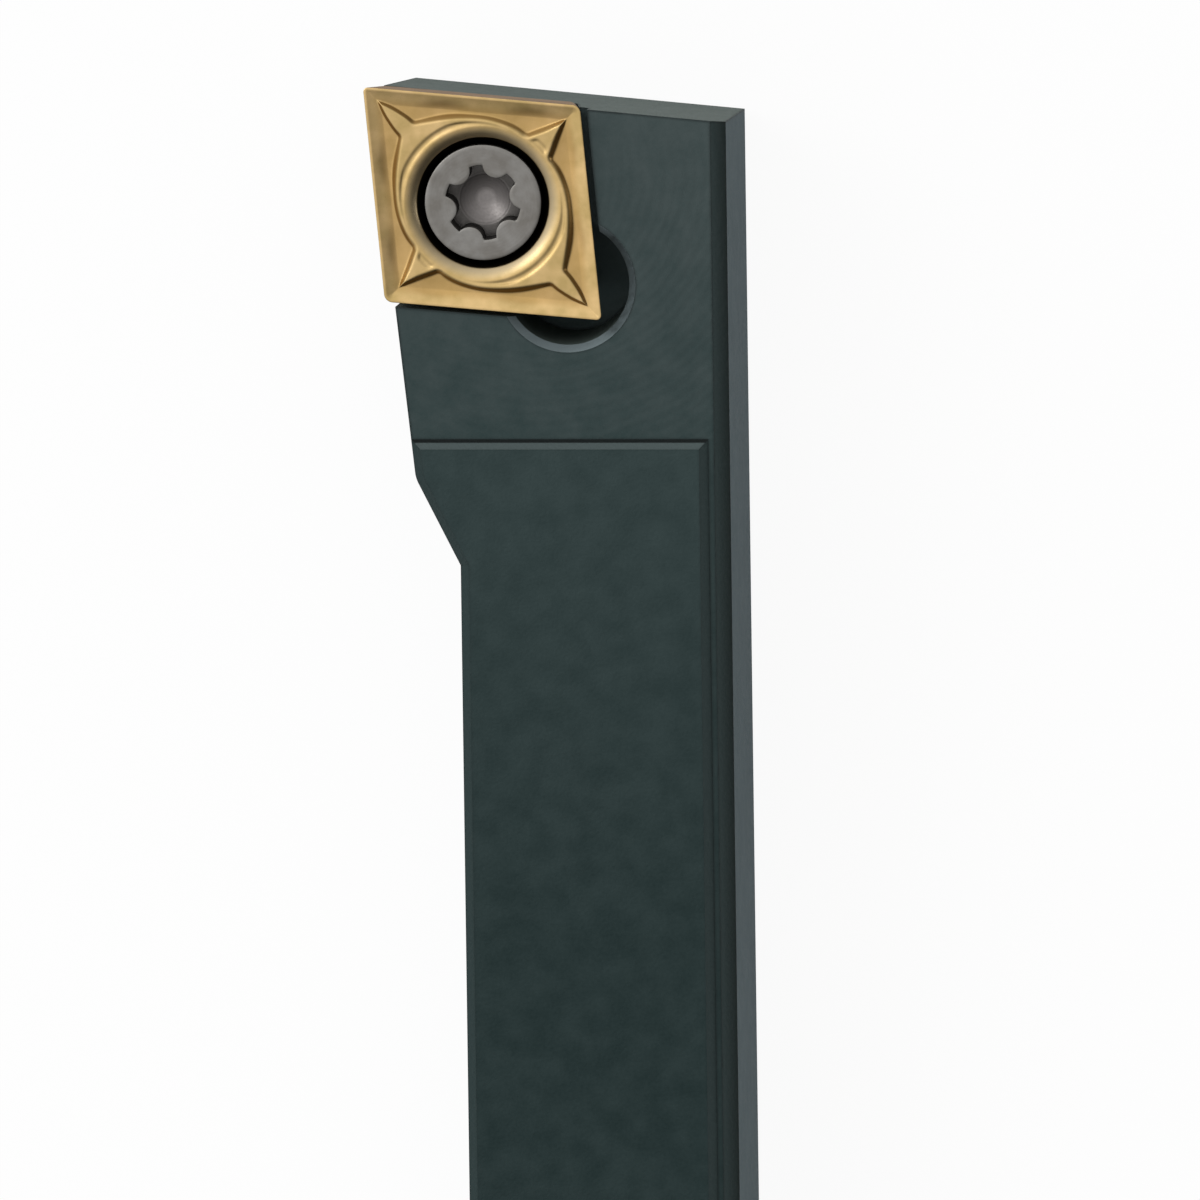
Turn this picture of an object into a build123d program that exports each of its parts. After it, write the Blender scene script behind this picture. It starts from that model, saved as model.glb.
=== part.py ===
from build123d import *
from math import cos, radians, sin, tan
import os

# A right-hand external turning tool holder with a screw-clamped rhombic insert, in millimetres.
# The tool lies on its base. +Z is up, +Y runs along the shank towards the cutting tip, and +X
# points to the datum side, the side of the shank away from the tip. The origin is on the base,
# in the middle of the shank's width and half-way along the tool.

# Bar: the sizes that a tool post and an offset table work with
shank_height = 12.0
shank_width = 12.0
overall_length = 80.0
tip_offset = 16.0

# Head and neck, with lengths measured back from the tip
head_length = 15.85
head_drop = 0.4
elbow_length = 17.6
neck_angle = 26.4
elbow_radius = 1.6
side_setback = 0.32
side_relief = 1.0
side_clearance = 5.0
front_setback = 0.17
front_relief = 0.5
front_clearance = 5.5

# Broken edges of the bar
datum_chamfer = 0.65
datum_ledge = 0.25
base_chamfer = 0.4
rear_chamfer = 0.6

# Insert: an 80 degree rhombus with relieved flanks
inscribed_circle = 9.525
insert_thickness = 3.97
corner_angle = 80.0
entering_angle = 95.0
flank_angle = 7.0
nose_radius = 0.2
obtuse_radius = 0.4
insert_bore = 4.4
bore_mouth = 6.1
seat_cone_angle = 60.0

# Chip former on the insert's top face
edge_land = 0.12
groove_depth = 0.3
groove_slope = 0.85
island_height = 0.26
island_lean = 0.15
belly_margin = 0.8
finger_start = 0.85
finger_end = 2.7
acute_finger_width = 1.15
obtuse_finger_width = 1.8
notch_round = 0.15
boss_diameter = 7.2
boss_height = 0.12

# Pocket that the insert sits in
wall_contact = 2.4
wall_relief = 0.25
corner_hole = 5.5
corner_hole_inset = 2.2
corner_hole_depth = 1.0
corner_hole_break = 0.3

# Clamping screw with a six-lobe socket, and its hole through the head
thread_diameter = 3.5
thread_clearance = 0.05
screw_length = 8.8
head_diameter = 5.2
head_rim = 0.25
head_edge_break = 0.08
head_clearance = 0.05
screw_neck = 3.0
neck_end_below_seat = 0.2
screw_point = 0.4
lobe_circle = 3.35
valley_circle = 2.4
valley_radius = 0.62
lobe_round = 0.15
socket_depth = 1.1
socket_cone = 0.5
socket_cone_angle = 55.0
socket_turn = 10.4
hole_mouth_break = 0.3

# Room for cutting tools that must run out past a face
overrun = 5.0

# Heights
head_top = shank_height - head_drop
seat_height = shank_height - insert_thickness
valley_height = shank_height - groove_depth
island_top = valley_height + island_height
boss_top = island_top + boss_height

# The insert in plan: its side edge leads by the entering angle, and the tip sits on the tip
# offset and the overall length with its rounded nose
half_corner = corner_angle / 2
lead_angle = entering_angle - 90
end_angle = 180 - entering_angle - corner_angle
inner_radius = inscribed_circle / 2
seat_radius = inner_radius - insert_thickness * tan(radians(flank_angle))
tip_x = shank_width / 2 - tip_offset
tip_y = overall_length / 2
diagonal = lead_angle + half_corner - 90
nose_to_centre = (inner_radius - nose_radius) / sin(radians(half_corner))
insert_x = tip_x + nose_radius + nose_to_centre * cos(radians(diagonal))
insert_y = tip_y - nose_radius + nose_to_centre * sin(radians(diagonal))


def meet(first, first_angle, second, second_angle):
    """Point where two lines in plan cross, each given by a point on it and its direction."""
    across_x = (second[0] - first[0]) * sin(radians(second_angle))
    across_y = (second[1] - first[1]) * cos(radians(second_angle))
    reach = (across_x - across_y) / sin(radians(second_angle - first_angle))
    return (
        first[0] + reach * cos(radians(first_angle)),
        first[1] + reach * sin(radians(first_angle)),
    )


def from_centre(distance, angle):
    """Point in plan at a distance and a direction from the insert's centre."""
    return (
        insert_x + distance * cos(radians(angle)),
        insert_y + distance * sin(radians(angle)),
    )


def rhombus(side_distance):
    """Corners of a rhombus whose sides lie side_distance from its centre, acute ones on X."""
    acute = side_distance / sin(radians(half_corner))
    obtuse = side_distance / cos(radians(half_corner))
    return [(acute, 0), (0, obtuse), (-acute, 0), (0, -obtuse)]


def rounded_rhombus(side_distance, acute_round, obtuse_round):
    """Draw a rhombus with its acute and obtuse corners rounded."""
    with BuildSketch(Plane.XY, mode=Mode.PRIVATE) as outline:
        Polygon(*rhombus(side_distance), align=None)
        by_x = outline.vertices().sort_by(Axis.X)
        fillet([by_x[0], by_x[-1]], acute_round)
        by_y = outline.vertices().sort_by(Axis.Y)
        fillet([by_y[0], by_y[-1]], obtuse_round)
    return outline.sketch


def island_outline():
    """Draw the island in plan: a finger to each corner, a belly along each side, notches between."""
    acute_corner = rhombus(inner_radius)[0][0]
    obtuse_corner = rhombus(inner_radius)[1][1]
    belly = (
        acute_corner / 2 - belly_margin * sin(radians(half_corner)),
        obtuse_corner / 2 - belly_margin * cos(radians(half_corner)),
    )
    acute_notch = (acute_corner - finger_end, acute_finger_width / 2)
    obtuse_notch = (obtuse_finger_width / 2, obtuse_corner - finger_end)
    with BuildSketch(Plane.XY, mode=Mode.PRIVATE) as outline:
        with BuildLine():
            Line((acute_corner - finger_start, 0), acute_notch)
            ThreePointArc(acute_notch, belly, obtuse_notch)
            Line(obtuse_notch, (0, obtuse_corner - finger_start))
            mirror(about=Plane.YZ)
            mirror(about=Plane.XZ)
        make_face()
        points_then_notches = outline.vertices().sort_by(lambda corner: abs(corner.X * corner.Y))
        fillet(points_then_notches[4:], notch_round)
    return outline.sketch


def pocket_outline(side_distance):
    """Corners of the pocket, closed along two of the insert's sides and open past the others."""
    apex = -side_distance / sin(radians(half_corner))
    reach = inscribed_circle * 1.5
    arm_x = apex + reach * cos(radians(half_corner))
    arm_y = reach * sin(radians(half_corner))
    return [(apex, 0), (arm_x, -arm_y), (2 * arm_x - apex, 0), (arm_x, arm_y)]


def insert_plane(height):
    """Level plane at the insert's centre, with X along its long diagonal to the tip."""
    towards_tip = (-cos(radians(diagonal)), -sin(radians(diagonal)), 0)
    return Plane(origin=(insert_x, insert_y, height), x_dir=towards_tip, z_dir=(0, 0, 1))


def face_plane(point, normal_angle):
    """Upright plane that looks along a head face, with X out of the face and Y up."""
    outward = (cos(radians(normal_angle)), sin(radians(normal_angle)), 0)
    along = (sin(radians(normal_angle)), -cos(radians(normal_angle)), 0)
    return Plane(origin=(point[0], point[1], 0), x_dir=outward, z_dir=along)


def clearance_wedge(angle):
    """Section taken off below a head face: its clearance angle, then the broken edge at the base."""
    foot = (base_chamfer - head_top) * tan(radians(angle))
    return [
        (0, head_top),
        (overrun, head_top),
        (overrun, -overrun),
        (foot - base_chamfer - overrun, -overrun),
        (foot, base_chamfer),
    ]


# Plan of the bar: the head's two cutting faces are set back from the insert's edges and fall
# away from them by a small relief
front_normal = 90 - end_angle - front_relief
side_normal = 180 + lead_angle + side_relief
front_point = from_centre(inner_radius - front_setback, front_normal)
side_point = from_centre(inner_radius - side_setback, side_normal)
datum_x = shank_width / 2
rear_y = -overall_length / 2
step_y = tip_y - head_length
front_left = meet(front_point, front_normal - 90, side_point, side_normal + 90)
front_right = meet(front_point, front_normal - 90, (datum_x, 0), 90)
front_middle = meet(front_point, front_normal - 90, (-datum_x, 0), 90)
elbow = meet((0, tip_y - elbow_length), 0, side_point, side_normal + 90)
neck_rear = meet(elbow, neck_angle - 90, (-datum_x, 0), 90)
neck_root = meet(elbow, neck_angle - 90, (0, 0), 90)
land_x = datum_x - datum_chamfer - datum_ledge


def bar_outline():
    """Draw the bar in plan: the head with its neck, which run into the shank, and the shank."""
    with BuildSketch(Plane.XY, mode=Mode.PRIVATE) as outline:
        Polygon(front_left, elbow, neck_root, front_right, align=None)
        fillet(outline.vertices().sort_by_distance(elbow)[0], elbow_radius)
        Polygon((-datum_x, rear_y), (datum_x, rear_y), front_right, front_middle, align=None)
        chamfer(outline.vertices().group_by(Axis.Y)[0], rear_chamfer)
    return outline.sketch


def lowering(border, end):
    """Section of a cut that lowers the top from a sloping border out to its end."""
    return [
        (border, head_top),
        (end, head_top),
        (end, shank_height + overrun),
        (border - head_drop - overrun, shank_height + overrun),
    ]


with BuildPart() as holder:
    # Bar and head at the shank's height, with a sloping border round the top and a broken base
    with BuildSketch(Plane.XY):
        add(bar_outline())
    extrude(amount=shank_height)
    chamfer(holder.faces().sort_by(Axis.Z)[-1].edges(), head_drop)
    chamfer(holder.faces().sort_by(Axis.Z)[0].edges(), base_chamfer)
    # The head's face and a ledge along the datum side are cut lower, which leaves a raised land
    with BuildSketch(Plane.YZ):
        Polygon(*lowering(step_y, tip_y + overrun), align=None)
    extrude(amount=tip_offset + overrun, both=True, mode=Mode.SUBTRACT)
    with BuildSketch(Plane.XZ):
        Polygon(*lowering(land_x, datum_x + overrun), align=None)
    extrude(amount=overall_length, both=True, mode=Mode.SUBTRACT)
    datum_face = holder.faces().sort_by(Axis.X)[-1]
    chamfer(datum_face.edges().sort_by(Axis.Z)[-1], datum_chamfer)
    # Clearance below the head's end face and below its side face
    with BuildSketch(face_plane(front_point, front_normal)):
        Polygon(*clearance_wedge(front_clearance), align=None)
    extrude(amount=tip_offset + overrun, both=True, mode=Mode.SUBTRACT)
    side_rear = meet(side_point, side_normal + 90, neck_rear, 0)
    with BuildSketch(face_plane(side_rear, side_normal)):
        Polygon(*clearance_wedge(side_clearance), align=None)
    extrude(amount=tip_y - neck_rear[1] + overrun, mode=Mode.SUBTRACT)
    # Pocket: the lower part of its walls bears on the insert, the upper part stands clear
    with BuildSketch(insert_plane(seat_height)):
        Polygon(*pocket_outline(seat_radius), align=None)
    extrude(amount=wall_contact, taper=-flank_angle, mode=Mode.SUBTRACT)
    with BuildSketch(insert_plane(seat_height + wall_contact)):
        Polygon(*pocket_outline(inner_radius + wall_relief), align=None)
    extrude(amount=insert_thickness, mode=Mode.SUBTRACT)
    # Hole at the pocket's inner corner, so that the insert's corner touches nothing
    inner_corner = inner_radius / sin(radians(half_corner))
    corner_centre = from_centre(inner_corner - corner_hole_inset, diagonal)
    with Locations((corner_centre[0], corner_centre[1], head_top)):
        CounterSinkHole(
            radius=corner_hole / 2,
            counter_sink_radius=corner_hole / 2 + corner_hole_break,
            depth=head_top - seat_height + corner_hole_depth,
            counter_sink_angle=90,
        )
    # Screw hole down through the pocket's floor
    thread_bore = thread_diameter / 2 + thread_clearance
    with Locations((insert_x, insert_y, seat_height)):
        CounterSinkHole(
            radius=thread_bore,
            counter_sink_radius=thread_bore + hole_mouth_break,
            counter_sink_angle=90,
        )

with BuildPart() as insert:
    # Body: flanks lean in from the cutting edges to the seat
    with BuildSketch(insert_plane(seat_height)):
        add(rounded_rhombus(seat_radius, nose_radius / 2, obtuse_radius))
    with BuildSketch(insert_plane(shank_height)):
        add(rounded_rhombus(inner_radius, nose_radius, obtuse_radius))
    loft(ruled=True)
    # Chip groove: slopes fall from a narrow land behind the edge
    with BuildSketch(insert_plane(shank_height)):
        add(rounded_rhombus(inner_radius - edge_land, nose_radius / 2, obtuse_radius - edge_land))
    with BuildSketch(insert_plane(valley_height)):
        add(rounded_rhombus(inner_radius - edge_land - groove_slope, nose_radius / 2, obtuse_radius / 2))
    loft(ruled=True, mode=Mode.SUBTRACT)
    # Island between the groove's slopes and the hole
    with BuildSketch(insert_plane(valley_height)):
        add(island_outline())
    with BuildSketch(insert_plane(island_top)):
        add(offset(island_outline(), amount=-island_lean, kind=Kind.INTERSECTION, mode=Mode.PRIVATE))
    loft(ruled=True)
    # Raised ring round the hole
    with BuildSketch(insert_plane(island_top)):
        Circle(boss_diameter / 2)
    extrude(amount=boss_height, taper=45)
    # Hole with a cone that takes the screw's head
    with Locations((insert_x, insert_y, boss_top)):
        CounterSinkHole(
            radius=insert_bore / 2,
            counter_sink_radius=bore_mouth / 2,
            counter_sink_angle=seat_cone_angle,
        )

# The screw's head bears on the insert's cone: its rim meets the cone at this height
cone_slope = tan(radians(seat_cone_angle / 2))
cone_gap = head_clearance / sin(radians(seat_cone_angle / 2))
rim_height = boss_top - (bore_mouth - head_diameter) / 2 / cone_slope + cone_gap
screw_top = rim_height + head_rim
screw_end = screw_top - screw_length
neck_start = rim_height - (head_diameter - screw_neck) / 2 / cone_slope
thread_start = seat_height - neck_end_below_seat
run_out = (thread_diameter - screw_neck) / 2
screw_axis = Axis((insert_x, insert_y, 0), (0, 0, 1))

with BuildPart() as clamp_screw:
    # Turned blank: countersunk head, neck and threaded end
    with BuildSketch(Plane(origin=(insert_x, insert_y, 0), x_dir=(1, 0, 0), z_dir=(0, -1, 0))):
        Polygon(
            (0, screw_top),
            (head_diameter / 2 - head_edge_break, screw_top),
            (head_diameter / 2, screw_top - head_edge_break),
            (head_diameter / 2, rim_height),
            (screw_neck / 2, neck_start),
            (screw_neck / 2, thread_start + run_out),
            (thread_diameter / 2, thread_start),
            (thread_diameter / 2, screw_end + screw_point),
            (thread_diameter / 2 - screw_point, screw_end),
            (0, screw_end),
            align=None,
        )
    revolve(axis=screw_axis)
    # Six-lobe socket with a conical bottom
    lobe_direction = (-sin(radians(socket_turn)), cos(radians(socket_turn)), 0)
    with BuildSketch(Plane(origin=(insert_x, insert_y, screw_top), x_dir=lobe_direction)) as socket:
        Circle(lobe_circle / 2)
        with PolarLocations(valley_circle / 2 + valley_radius, 6, start_angle=30):
            Circle(valley_radius, mode=Mode.SUBTRACT)
        fillet(socket.vertices(), lobe_round)
    extrude(amount=-socket_depth, mode=Mode.SUBTRACT)
    with BuildSketch(Plane(origin=(insert_x, insert_y, screw_top - socket_depth))):
        Circle(valley_circle / 2)
    extrude(amount=-socket_cone, taper=socket_cone_angle, mode=Mode.SUBTRACT)

os.makedirs("parts", exist_ok=True)
holder.part.label = "holder"
export_step(holder.part, "parts/holder.step")
insert.part.label = "insert"
export_step(insert.part, "parts/insert.step")
clamp_screw.part.label = "clamp_screw"
export_step(clamp_screw.part, "parts/clamp_screw.step")
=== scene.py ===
# %% [markdown]
# A turning tool holder: a square bar of blackened steel with an offset head, a gold-coated
# carbide insert in a pocket of the head, and the countersunk screw that clamps the insert.
# Each step below first says what the piece or finish is on the real tool, then builds it.

# %% Load the frame
from math import atan2, cos, degrees, pi, radians, sin, tan

import bmesh
import bpy
import numpy as np
from mathutils import Matrix, Vector


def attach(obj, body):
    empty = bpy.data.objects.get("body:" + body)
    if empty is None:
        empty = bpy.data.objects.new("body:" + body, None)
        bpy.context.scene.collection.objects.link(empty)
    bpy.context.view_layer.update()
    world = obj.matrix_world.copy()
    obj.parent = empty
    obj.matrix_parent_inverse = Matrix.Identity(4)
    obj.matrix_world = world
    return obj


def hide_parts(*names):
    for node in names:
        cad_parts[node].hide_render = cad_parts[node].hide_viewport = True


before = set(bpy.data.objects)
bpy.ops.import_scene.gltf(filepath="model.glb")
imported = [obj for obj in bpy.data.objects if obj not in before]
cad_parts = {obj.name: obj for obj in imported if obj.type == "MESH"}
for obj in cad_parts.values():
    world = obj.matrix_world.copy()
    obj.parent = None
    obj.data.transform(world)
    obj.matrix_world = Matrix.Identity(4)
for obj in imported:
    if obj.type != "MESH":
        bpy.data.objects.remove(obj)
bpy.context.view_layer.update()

MM = 0.001

# %% [markdown]
# The sizes are in millimetres, as on the tool's drawing. The tool lies on its base: Z is up,
# Y runs along the bar to the cutting tip, and X points to the side away from the tip. The
# insert also has local axes, with X along its long diagonal towards the cutting tip, because
# all of its shapes are symmetric about its two diagonals.

# %% Sizes of the tool
BAR_WIDTH, BAR_HEIGHT, BAR_LENGTH = 12.0, 12.0, 80.0
HEAD_TOP = 11.6
SEAT = 8.03
TIP = (-10.0, 40.0)
INSCRIBED = 9.525 / 2
HALF_CORNER = radians(40)
FLANK = tan(radians(7))
NOSE, OBTUSE_NOSE = 0.2, 0.4
LONG_DIAGONAL = radians(135)

nose_to_centre = (INSCRIBED - NOSE) / sin(HALF_CORNER)
INSERT_X = TIP[0] + NOSE - nose_to_centre * cos(LONG_DIAGONAL)
INSERT_Y = TIP[1] - NOSE - nose_to_centre * sin(LONG_DIAGONAL)
INSERT_AXIS = (INSERT_X * MM, INSERT_Y * MM, 0)
print(f"insert centre: {INSERT_X:.3f}, {INSERT_Y:.3f} mm")


def from_insert(local_x, local_y):
    """Turns the insert's local X and Y into the tool's X and Y. Numbers and arrays both work."""
    return (
        INSERT_X + local_x * cos(LONG_DIAGONAL) - local_y * sin(LONG_DIAGONAL),
        INSERT_Y + local_x * sin(LONG_DIAGONAL) + local_y * cos(LONG_DIAGONAL),
    )


# %% [markdown]
# A catalogue shows a tool from far away, through a long lens, so that parallel edges
# stay parallel. The camera looks almost straight down on the bar, from a little to the right
# and a little beyond the tip. Three unit vectors describe it: the direction it looks from, its
# right and its up. They are the columns of its rotation matrix. The cutting tip is the point
# that everything is lined up with, so the camera aims at a fixed distance from the tip.

# %% Camera
TILT_RIGHT, TILT_TO_TIP = radians(4.85), radians(9.22)
VIEW_DISTANCE = 2.0
FRAME_WIDTH = 53.17 * MM
TIP_IN_FRAME = (-10.49 * MM, 22.71 * MM)

look_from = Vector((
    sin(TILT_RIGHT) * cos(TILT_TO_TIP),
    sin(TILT_TO_TIP),
    cos(TILT_RIGHT) * cos(TILT_TO_TIP),
))
view_right = (Vector((1, 0, 0)) - look_from.x * look_from).normalized()
view_up = look_from.cross(view_right)
aim = Vector((TIP[0], TIP[1], BAR_HEIGHT)) * MM
aim -= view_right * TIP_IN_FRAME[0] + view_up * TIP_IN_FRAME[1]

camera_data = bpy.data.cameras.new("long_lens")
camera_data.sensor_width = 36
camera_data.lens = camera_data.sensor_width * VIEW_DISTANCE / FRAME_WIDTH
camera_data.clip_end = 50
camera = bpy.data.objects.new("camera", camera_data)
bpy.context.collection.objects.link(camera)
rotation = Matrix((view_right, view_up, look_from)).transposed().to_4x4()
camera.matrix_world = Matrix.Translation(aim + look_from * VIEW_DISTANCE) @ rotation
bpy.context.scene.camera = camera
bpy.context.scene.view_settings.view_transform = "Standard"
print(f"lens {camera_data.lens:.0f} mm at {VIEW_DISTANCE} m")

# %% [markdown]
# Every material below is a small network of nodes, and a few helpers keep the code short. The
# first adds one node, sets its options, and gives each of its inputs either a plain value or a
# link from another node. The next ones stand for the nodes that are used most: arithmetic, a
# ramp from one range of values to another, a mix of two colours, and noise.

# %% Helpers for nodes


def add(tree, kind, inputs=(), **options):
    """Adds a shader node. inputs maps a socket's name or number to a value or a link."""
    node = tree.nodes.new("ShaderNode" + kind)
    for name, value in options.items():
        setattr(node, name, value)
    for name, value in dict(inputs).items():
        if isinstance(value, bpy.types.NodeSocket):
            tree.links.new(value, node.inputs[name])
        else:
            node.inputs[name].default_value = value
    return node


def calc(tree, operation, first, second=0.0):
    """Adds a Math node and gives its result."""
    return add(tree, "Math", {0: first, 1: second}, operation=operation).outputs[0]


def vector_calc(tree, operation, first, second=(0, 0, 0)):
    """Adds a Vector Math node and gives its result, a number or a vector."""
    node = add(tree, "VectorMath", {0: first, 1: second}, operation=operation)
    return node.outputs["Value" if operation in ("DOT_PRODUCT", "LENGTH") else "Vector"]


def ramp(tree, value, low, high, to_low=0.0, to_high=1.0, smooth=False):
    """Turns values from low to high into to_low to to_high, and holds them beyond."""
    kind = "SMOOTHSTEP" if smooth else "LINEAR"
    ends = {"Value": value, "From Min": low, "From Max": high, "To Min": to_low, "To Max": to_high}
    return add(tree, "MapRange", ends, interpolation_type=kind).outputs["Result"]


def blend(tree, factor, first, second):
    """Mixes two colours by a factor."""
    return add(tree, "Mix", {0: factor, 6: first, 7: second}, data_type="RGBA").outputs[2]


def noise(tree, place, scale, detail):
    """An uneven value around 0.5, with scale patches to a metre."""
    return add(tree, "TexNoise", {"Vector": place, "Scale": scale, "Detail": detail}).outputs["Fac"]


print("helpers:", [helper.__name__ for helper in (add, calc, vector_calc, ramp, blend, noise)])

# %% [markdown]
# A finish depends on where a point of the surface lies and on which way it looks, so both have
# a helper. A node group has named inputs and outputs, and can be placed in many materials.

# %% Helpers for places, groups and materials
NUMBER, DIRECTION = "NodeSocketFloat", "NodeSocketVector"


def surface_point(tree):
    """The point of the surface that is being shaded, in metres."""
    return add(tree, "TexCoord").outputs["Object"]


def surface_normal(tree):
    """The direction that the surface looks in at that point."""
    return add(tree, "NewGeometry").outputs["Normal"]


def axes_of(tree, vector):
    """The parts of a vector, under the names X, Y and Z."""
    return add(tree, "SeparateXYZ", {0: vector}).outputs


def from_upright_axis(tree, place, axis):
    """Distance of a point from an upright axis. Both places and the result are in metres."""
    flat = vector_calc(tree, "MULTIPLY", vector_calc(tree, "SUBTRACT", place, axis), (1, 1, 0))
    return vector_calc(tree, "LENGTH", flat)


def new_group(name, inputs, outputs):
    """Starts a node group. inputs lists (name, kind, value), and outputs lists (name, kind)."""
    tree = bpy.data.node_groups.new(name, "ShaderNodeTree")
    for label, kind, value in inputs:
        tree.interface.new_socket(label, in_out="INPUT", socket_type=kind).default_value = value
    for label, kind in outputs:
        tree.interface.new_socket(label, in_out="OUTPUT", socket_type=kind)
    entry, result = tree.nodes.new("NodeGroupInput"), tree.nodes.new("NodeGroupOutput")
    return tree, entry.outputs, result.inputs


def use_group(tree, group, inputs):
    """Places a node group in a material and gives its outputs."""
    return add(tree, "Group", inputs, node_tree=group).outputs


def new_material(name):
    """Starts a material with an empty node tree, and gives it with that tree."""
    material = bpy.data.materials.new(name)
    material.use_nodes = True
    material.node_tree.nodes.clear()
    return material, material.node_tree


def layered(tree, colour, layers):
    """Lays colours over a first one. layers lists (mask, colour), the lowest layer first."""
    for mask, layer in layers:
        colour = blend(tree, mask, colour, layer)
    return colour


def metal_surface(tree, colour, metallic, roughness, relief, **more):
    """Ends a material. relief is a height, its strength and its depth in millimetres."""
    height, strength, depth = relief
    bump = add(tree, "Bump", {"Height": height, "Strength": strength, "Distance": depth * MM})
    sockets = {"Base Color": colour, "Metallic": metallic, "Roughness": roughness, **more}
    shader = add(tree, "BsdfPrincipled", {**sockets, "Normal": bump.outputs[0]})
    add(tree, "OutputMaterial", {"Surface": shader.outputs[0]})


print("kinds of group socket:", NUMBER, DIRECTION)

# %% [markdown]
# The studio is a plain white table. A floor that is only lit never looks quite white, and more
# light on it would also bleach the tool. So the floor adds a white glow that only the camera
# and shiny surfaces see. The rest of its brightness is ordinary lit white, which keeps the
# tool's soft shadow.

# %% Floor
FLOOR_SIZE = 1.2
FLOOR_GLOW = 0.93

floor_material, tree = new_material("white_table")
path = add(tree, "LightPath").outputs
seen = calc(tree, "MAXIMUM", path["Is Camera Ray"], path["Is Glossy Ray"])
seen = calc(tree, "MAXIMUM", seen, path["Is Transmission Ray"])
lit = add(tree, "BsdfDiffuse", {"Color": (0.9, 0.9, 0.9, 1)})
glow = add(tree, "Emission", {"Color": (1, 1, 1, 1), "Strength": 1.0})
share = calc(tree, "MULTIPLY", seen, FLOOR_GLOW)
mixed = add(tree, "MixShader", {0: share, 1: lit.outputs[0], 2: glow.outputs[0]})
add(tree, "OutputMaterial", {"Surface": mixed.outputs[0]})

half = FLOOR_SIZE / 2
corners = [(-half, -half, 0), (half, -half, 0), (half, half, 0), (-half, half, 0)]
floor_mesh = bpy.data.meshes.new("floor")
floor_mesh.from_pydata(corners, [], [(0, 1, 2, 3)])
floor_mesh.materials.append(floor_material)
floor = bpy.data.objects.new("floor", floor_mesh)
bpy.context.collection.objects.link(floor)
floor.location.z = -0.00002
print("floor:", FLOOR_SIZE, "m square")

# %% [markdown]
# Metal shows what stands around it. The room is brightest beyond the tip on the left and fades
# towards the other side, as beside a big window, so that slopes which face it are lit and their
# opposites stay in shade. A level face looks straight up, where the room is about as bright as
# white paper. The camera itself always sees white. Soft lamps help the room: the main one
# stands on its bright side.

# %% Room and lamps
ROOM_BRIGHT_SIDE = (-0.50, 0.42, 0.76)
ROOM_SHADE, ROOM_LIGHT = 0.05, 1.42

world = bpy.data.worlds.new("studio")
bpy.context.scene.world = world
world.use_nodes = True
tree = world.node_tree
tree.nodes.clear()
direction = add(tree, "TexCoord").outputs["Generated"]
towards_bright = vector_calc(tree, "DOT_PRODUCT", direction, ROOM_BRIGHT_SIDE)
room = ramp(tree, towards_bright, -0.1, 1.0, ROOM_SHADE, ROOM_LIGHT)
seen = add(tree, "LightPath").outputs["Is Camera Ray"]
strength = calc(tree, "MAXIMUM", room, seen)
background = add(tree, "Background", {"Color": (1, 1, 1, 1), "Strength": strength})
add(tree, "OutputWorld", {"Surface": background.outputs[0]})


def softbox(name, place, size, brightness):
    """A square area lamp that looks at the tool's head. Its brightness is that of its face."""
    lamp = bpy.data.lights.new(name, "AREA")
    lamp.shape = "SQUARE"
    lamp.size = size
    lamp.energy = pi * size**2 * brightness
    box = bpy.data.objects.new(name, lamp)
    bpy.context.collection.objects.link(box)
    box.location = Vector(place)
    box.rotation_mode = "QUATERNION"
    box.rotation_quaternion = (Vector(place) - Vector((0, 0.02, 0.01))).to_track_quat("Z", "Y")
    box.visible_camera = False
    print(f"{name}: {size} m wide, {lamp.energy:.2f} W")


softbox("main_lamp", (-0.58, 0.42, 0.62), 0.40, 3.0)
softbox("side_lamp", (0.88, 0.05, 0.14), 0.30, 1.5)

# %% [markdown]
# Three effects are shared by the finishes, so each is a node group that is built once.
#
# Fine grain is the roughness that blasting, blackening or coating leaves: small uneven bumps.
# Two sizes of noise are added, because one size alone looks like a printed pattern.

# %% Node group: fine grain
PATCH_OVER_GRAIN = 7.0

inputs = [("Size", NUMBER, 0.3), ("Fineness", NUMBER, 3.0)]
fine_grain, given, result = new_group("fine grain", inputs, [("Height", NUMBER), ("Mottle", NUMBER)])
place = surface_point(fine_grain)
per_metre = calc(fine_grain, "DIVIDE", 1 / MM, given["Size"])
settings = {"Vector": place, "Scale": per_metre, "Detail": given["Fineness"], "Roughness": 0.6}
bumps = add(fine_grain, "TexNoise", settings).outputs["Fac"]
patches = noise(fine_grain, place, calc(fine_grain, "DIVIDE", per_metre, PATCH_OVER_GRAIN), 2.0)
fine_grain.links.new(bumps, result["Height"])
fine_grain.links.new(patches, result["Mottle"])
print(fine_grain.name, "outputs:", [socket.name for socket in result][:2])
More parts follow.
